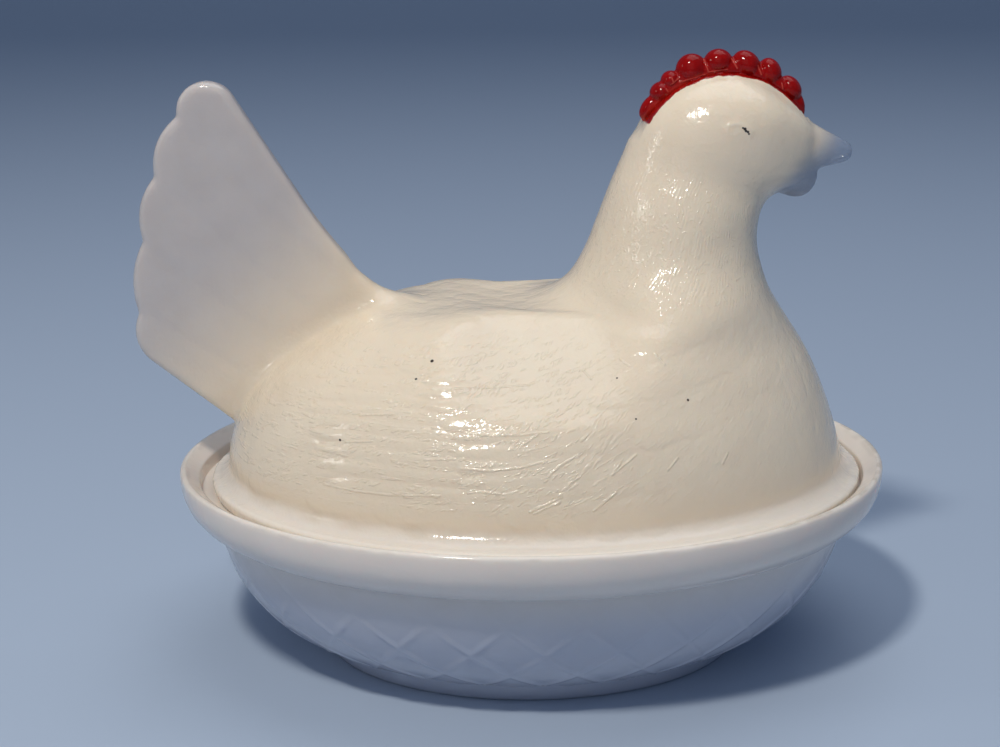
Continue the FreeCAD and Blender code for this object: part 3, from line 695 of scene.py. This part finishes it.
points += normals * rise[:, None]
move_points(hen.data, points)
hen_skin = BVHTree.FromObject(hen, bpy.context.evaluated_depsgraph_get())
triangles = sum(len(face.vertices) - 2 for face in hen.data.polygons)
thin = hen.modifiers.new("fewer_faces", "DECIMATE")
thin.ratio = lid_faces / triangles
bpy.ops.object.modifier_apply(modifier=thin.name)
bpy.ops.object.shade_smooth_by_angle(angle=math.radians(60))

strokes = [
    # raised barbs with a glint, as points of the photograph's frame, dashes first and long rows last
    ((530, 512), (540, 508), (562, 497)), ((534, 514), (560, 502)), ((549, 476), (560, 466), (578, 455)),
    ((569, 484), (580, 477)), ((581, 441), (587, 435)), ((525, 444), (538, 434)),
    ((594, 511), (606, 501), (616, 493)), ((612, 475), (624, 465), (636, 455)), ((614, 472), (620, 465)),
    ((583, 370), (591, 379)), ((580, 371), (585, 369)), ((655, 353), (665, 365)), ((620, 359), (629, 366)),
    ((668, 470), (678, 458)), ((723, 463), (728, 453)), ((581, 440), (586, 436)),
    ((462, 469), (490, 471), (520, 468), (547, 461)), ((462, 432), (490, 436), (520, 435), (548, 432)),
    ((468, 493), (480, 492), (500, 494)), ((324, 484), (355, 491), (390, 495), (440, 496)),
    ((425, 460), (455, 459)), ((360, 415), (392, 414)), ((452, 389), (480, 388), (530, 385)),
    ((345, 442), (372, 441))]
stroke_width = 0.42
specks = [
    # point of the frame and radius in millimetres, the scratch at the eye last
    ((432, 361), 0.55), ((416, 379), 0.4), ((340, 440), 0.4), ((688, 400), 0.4), ((617, 378), 0.3),
    ((636, 419), 0.3), ((743, 128), 0.32), ((745, 129), 0.5), ((746, 131), 0.42), ((748, 132), 0.42),
    ((749, 134), 0.32)]

hen_glass = Finish(
    "cream_milk_glass", Base_Color=(0.8, 0.76, 0.7, 1), Roughness=0.16, IOR=1.5,
    Subsurface_Weight=0.4, Subsurface_Radius=(1.0, 0.75, 0.55), Subsurface_Scale=0.005)
along = hen_glass.along((1, 0, 0), 0)
aside = hen_glass.along((0, 1, 0), 0)
height = hen_glass.along((0, 0, 1), 0)
off_crease = hen_glass.along(
    (crease_along[1], 0, -crease_along[0]),
    crease_top[0] * crease_along[1] - crease_top[1] * crease_along[0])

# thick glass is cream; the thin tail, beak and wattle are painted greyer and bluer, a painted stand-in
# for the backdrop's light seen through thin glass, and beak and wattle are also made partly clear
painted_backdrop_blue, wattle_painted_backdrop_blue = (0.24, 0.32, 0.46, 1), (0.30, 0.37, 0.50, 1)
cream = hen_glass.blend(hen_glass.mottle(16), (0.83, 0.70, 0.54, 1), (0.88, 0.75, 0.585, 1))
painted_backdrop_grey = hen_glass.blend(hen_glass.mottle(9), (0.53, 0.48, 0.465, 1), (0.60, 0.55, 0.53, 1))
tint = hen_glass.blend(hen_glass.ramp(off_crease, -2, 36), cream, painted_backdrop_grey)
clear_tip = hen_glass.ramp(along, 66, 78) * hen_glass.ramp(height, 100, 112)
tint = hen_glass.blend(clear_tip * 0.9, tint, painted_backdrop_blue)
thin_wattle = hen_glass.ramp(hen_glass.along((0.5, 0, -1), 0), -95, -86)
thin_wattle = thin_wattle * hen_glass.ramp(height, 108, 112)
thin_wattle = thin_wattle * hen_glass.ramp(hen_glass.along((1, 0, -0.35), 0), 15, 22)
tint = hen_glass.blend(thin_wattle * 0.8, tint, wattle_painted_backdrop_blue)

# dust in the tail's crease and in the seam over the rim, a paler flange, and dark specks
brown_dust, seam_brown, flange_white = (0.52, 0.38, 0.22, 1), (0.56, 0.43, 0.28, 1), (0.80, 0.73, 0.66, 1)
speck_black = (0.05, 0.04, 0.035, 1)
old_dust = hen_glass.ramp(off_crease, -7, -1) * hen_glass.ramp(off_crease, 9, 1)
old_dust = old_dust * hen_glass.ramp(along, -28, -44)
tint = hen_glass.blend(old_dust * hen_glass.mottle(5) * 0.28, tint, brown_dust)
tint = hen_glass.blend(hen_glass.ramp(height, 52, 47) * 0.8, tint, flange_white)
seam_dirt = hen_glass.ramp(height, 51.5, 49.5) * hen_glass.ramp(height, 47.4, 48.4)
seam_dirt = seam_dirt * hen_glass.ramp(hen_glass.mottle(9), 0.35, 0.70) * hen_glass.ramp(along, 40, -60)
tint = hen_glass.blend(seam_dirt * 0.3, tint, seam_brown)
for pixel, reach in specks:
    speck_place = pixels_on(hen_skin, [pixel])[0] * 1000
    tint = hen_glass.blend(hen_glass.near(speck_place, reach), tint, speck_black)

# the enamel brush went a little over the crown beside the comb
dark_red, brush_red = (0.20, 0.001, 0.0008, 1), (0.40, 0.006, 0.003, 1)
from_crown_middle = hen_glass.vector(
    "LENGTH", hen_glass.combine(along - crown_middle, height - crown_height, 0.0), output="Value")
brush_edge = from_crown_middle + (hen_glass.mottle(2.5) - 0.5) * 0.8
over_brush = hen_glass.ramp(brush_edge, 22.1, 22.3) * hen_glass.ramp(along, 18, 20)
over_brush = over_brush * hen_glass.ramp(hen_glass.along((-0.066, 0, 1), 0), 131.9, 132.4)
red_glass = hen_glass.blend(hen_glass.mottle(2.4), dark_red, brush_red)
tint = hen_glass.blend(over_brush, tint, red_glass)
hen_glass.feed("Base Color", tint)
hen_glass.feed("Alpha", 1 - clear_tip * 0.5 - thin_wattle * (1 - clear_tip) * 0.3)
hen_glass.feed("Roughness", hen_glass.mottle(4) * 0.12 + 0.07)

# fine relief: barbs of the feathers in slanted flecks, single pressed strokes, hackles and grain
past_bend = hen_glass.number("MAXIMUM", along - bend_start, 0.0)
arc = hen_glass.number("MAXIMUM", bend_radius ** 2 - past_bend * past_bend, 400.0)
across = height + hen_glass.number("SQRT", arc)
barbs = hen_glass.noise(hen_glass.combine(along * 0.13, aside * 0.1, across), 1.1, 1.0)
slant = hen_glass.combine(along * 0.36 + across * 0.28, aside * 0.4, across * 1.15 - along * 0.8)
flecks = hen_glass.ramp(hen_glass.noise(slant, 1.0, 2.0), 0.44, 0.62)
barbs = hen_glass.ramp(barbs, 0.48, 0.60) * flecks
barbs = barbs * (hen_glass.ramp(along, 30, 2) * 0.8 + 0.2)
mirrored = hen_glass.combine(along, hen_glass.number("ABSOLUTE", aside), height)
stroke_lines = []
for stroke in strokes:
    ends = [np.array(place) * (1000, -1000, 1000) for place in pixels_on(hen_skin, stroke)]
    for start, end in zip(ends, ends[1:]):
        stroke_lines.append(hen_glass.line(mirrored, tuple(start), tuple(end), stroke_width))
pressed = hen_glass.most(stroke_lines) * (hen_glass.mottle(0.7) * 1.6 - 0.1)
neck_offset = crown_middle - neck_lean * crown_height
turn = hen_glass.number("ARCTAN2", aside, along - (neck_offset + height * neck_lean))
sway = hen_glass.number("SINE", height * (1 / 6)) * 0.05
sway = sway + (hen_glass.mottle(7) - 0.5) * 0.10
hackles = hen_glass.number("ABSOLUTE", hen_glass.number("COSINE", (turn + sway) * 80))
on_nape = hen_glass.ramp(height, 88, 98) * hen_glass.ramp(height, 134, 112) * hen_glass.ramp(along, 4, 14)
on_body = hen_glass.ramp(height, 92, 82) * hen_glass.ramp(height, 52, 56) * hen_glass.ramp(off_crease, 4, -6)
hackles = hackles * on_nape * hen_glass.ramp(hen_glass.mottle(3), 0.35, 0.7)
dimples = hen_glass.ramp(hen_glass.mottle(0.9, 1.0), 0.57, 0.72) * on_nape
fine_grain = hen_glass.mottle(0.8, 1.0) * 0.45 + dimples * 0.5
waves = hen_glass.relief(hen_glass.mottle(2.6, 1.0), 0.12)
waves = hen_glass.relief(barbs * on_body * 0.7 + pressed, 0.17, waves)
waves = hen_glass.relief(hackles, 0.07, waves)
hen_glass.feed("Normal", hen_glass.relief(fine_grain, 0.13, waves))
hen.data.materials.append(hen_glass.material)
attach(hen, "lid")
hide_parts("hen_lid")


# Comb: a row of glass lobes along the crown, under a thick glossy coat of red enamel that was
# brushed on by hand. It fills the gaps between them, and it is thin and paler along the creases,
# which also carry a painted highlight; the rear of its base band is painted lighter, as painted light.
comb_lobes = [
    # place along and up, half length and half width in millimetres, and lean in degrees
    (28.6, 137.2, 3.3, 1.8, 57), (31.5, 140.8, 2.9, 2.5, 27), (33.7, 143.6, 2.4, 2.3, 30),
    (38.8, 146.1, 3.9, 3.8, 1), (45.2, 147.8, 3.2, 3.5, 90), (52.0, 147.1, 3.8, 3.15, -45),
    (57.8, 145.3, 3.5, 2.75, -68), (62.9, 141.3, 3.4, 2.5, -55), (64.9, 138.2, 3.2, 1.4, -67)]
comb_half_width, band_half_width = 3.4, 2.7
band_end, band_start, band_steps = 34.0, 149.0, 70
band_thin, band_thick = 0.8, 2.75
comb_grain = 0.00024

shapes = list(comb_lobes)
for share in np.linspace(0, 1, band_steps):
    turn = math.radians(band_start + (band_end - band_start) * share)
    thick = band_thin + (band_thick - band_thin) * math.sin(math.pi * share) ** 0.6
    reach = crown_reach - 0.2 + 0.45 * thick
    place = crown_middle + reach * math.cos(turn), crown_height + reach * math.sin(turn)
    shapes.append((*place, thick, thick, 0))
parts = []
for along, height, half_length, half_width, lean in shapes:
    bpy.ops.mesh.primitive_uv_sphere_add(
        segments=24, ring_count=16, radius=0.001, location=(along / 1000, 0, height / 1000),
        rotation=(0, -math.radians(lean), 0))
    part = bpy.context.object
    widest = comb_half_width if lean else band_half_width
    part.scale = (half_length, min(widest, half_width * 1.3), half_width)
    parts.append(part)
bpy.ops.object.select_all(action="DESELECT")
for part in parts:
    part.select_set(True)
comb = parts[0]
comb.name = "comb_red_enamel"
bpy.context.view_layer.objects.active = comb
bpy.ops.object.join()
bpy.ops.object.transform_apply(location=True, rotation=True, scale=True)
coat = comb.modifiers.new("one_coat", "REMESH")
coat.mode = "VOXEL"
coat.voxel_size = comb_grain
bpy.ops.object.modifier_apply(modifier=coat.name)
flow = comb.modifiers.new("flowed_smooth", "SMOOTH")
flow.factor = 0.5
flow.iterations = 4
bpy.ops.object.modifier_apply(modifier=flow.name)
bpy.ops.object.shade_smooth()

comb_red = Finish(
    "red_enamel", Base_Color=(0.42, 0.006, 0.006, 1), Roughness=0.12, IOR=1.5, Specular_IOR_Level=0.25)
comb_faces = comb_red.vector("MULTIPLY", comb_red.place, (1000, 0, 1000))
crease_width = 0.3
crease_lines = [
    # between the lobes, from one place along and up to another, on both faces
    ((41.5, 148.6), (42.5, 145.7)), ((42.6, 145.7), (47.0, 146.2)), ((35.6, 143.3), (41.7, 145.1)),
    ((48.2, 148.7), (49.4, 146.5)), ((54.5, 147.0), (55.3, 144.9)), ((33.5, 142.7), (35.3, 144.2)),
    ((33.7, 144.4), (34.2, 143.2)), ((32.4, 141.8), (32.9, 141.1)), ((60.4, 142.7), (60.6, 141.5))]
creases = comb_red.most([
    comb_red.line(comb_faces, (start[0], 0, start[1]), (end[0], 0, end[1]), crease_width)
    for start, end in crease_lines])
deep_red, painted_lit_red, thin_enamel_pink_and_highlight = (0.37, 0.003, 0.0015, 1), (0.56, 0.03, 0.018, 1), (0.80, 0.13, 0.09, 1)
red = comb_red.blend(comb_red.mottle(2.4), dark_red, deep_red)
crown_centre = (crown_middle / 1000, 0, crown_height / 1000)
from_middle = comb_red.vector("DISTANCE", comb_red.place, crown_centre, output="Value") * 1000
# painted light: the rear of the base band, low on the comb, is painted a lighter red where the lamp falls on
# it
painted_light_band = comb_red.ramp(from_middle + comb_red.mottle(3) * 1.2, 24.8, 23.7)
painted_light_band = painted_light_band * comb_red.ramp(comb_red.along((1, 0, 0), 0), 50, 42)
red = comb_red.blend(painted_light_band * 0.7, red, painted_lit_red)
# the creases are painted pale pink: thin enamel there, and a painted highlight along their ridges
comb_red.feed("Base Color", comb_red.blend(creases * 0.45, red, thin_enamel_pink_and_highlight))
comb_red.feed("Roughness", comb_red.mottle(1.5) * 0.1 + 0.06)
swells = comb_red.relief(comb_red.mottle(1.3, 1.0), 0.05)
comb_red.feed("Normal", comb_red.relief(creases, 0.10, swells))
comb.data.materials.append(comb_red.material)
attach(comb, "lid")
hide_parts("comb_enamel")


# Stage: a pale floor that turns up into a pale wall far behind, not part of the object.
bpy.ops.object.select_all(action="DESELECT")
floor_size, wall_height, sweep_radius = 6, 3, 1.2
bpy.ops.mesh.primitive_plane_add(size=floor_size, location=(0, 0, 0))
floor = bpy.context.object
floor.name = "pale_floor"
bpy.ops.object.mode_set(mode="EDIT")
bpy.ops.mesh.select_mode(type="EDGE")
bpy.ops.mesh.select_all(action="DESELECT")
bpy.ops.object.mode_set(mode="OBJECT")
for edge_line in floor.data.edges:
    edge_line.select = all(floor.data.vertices[index].co.y > 0 for index in edge_line.vertices)
bpy.ops.object.mode_set(mode="EDIT")
bpy.ops.mesh.extrude_region_move(TRANSFORM_OT_translate={"value": (0, 0, wall_height)})
bpy.ops.object.mode_set(mode="OBJECT")
sweep = floor.modifiers.new("sweep", "BEVEL")
sweep.width = sweep_radius
sweep.segments = 16
bpy.ops.object.modifier_apply(modifier=sweep.name)
bpy.ops.object.shade_smooth()
paper = Finish("pale_paper", Base_Color=(0.42, 0.50, 0.62, 1), Roughness=0.8)
floor.data.materials.append(paper.material)
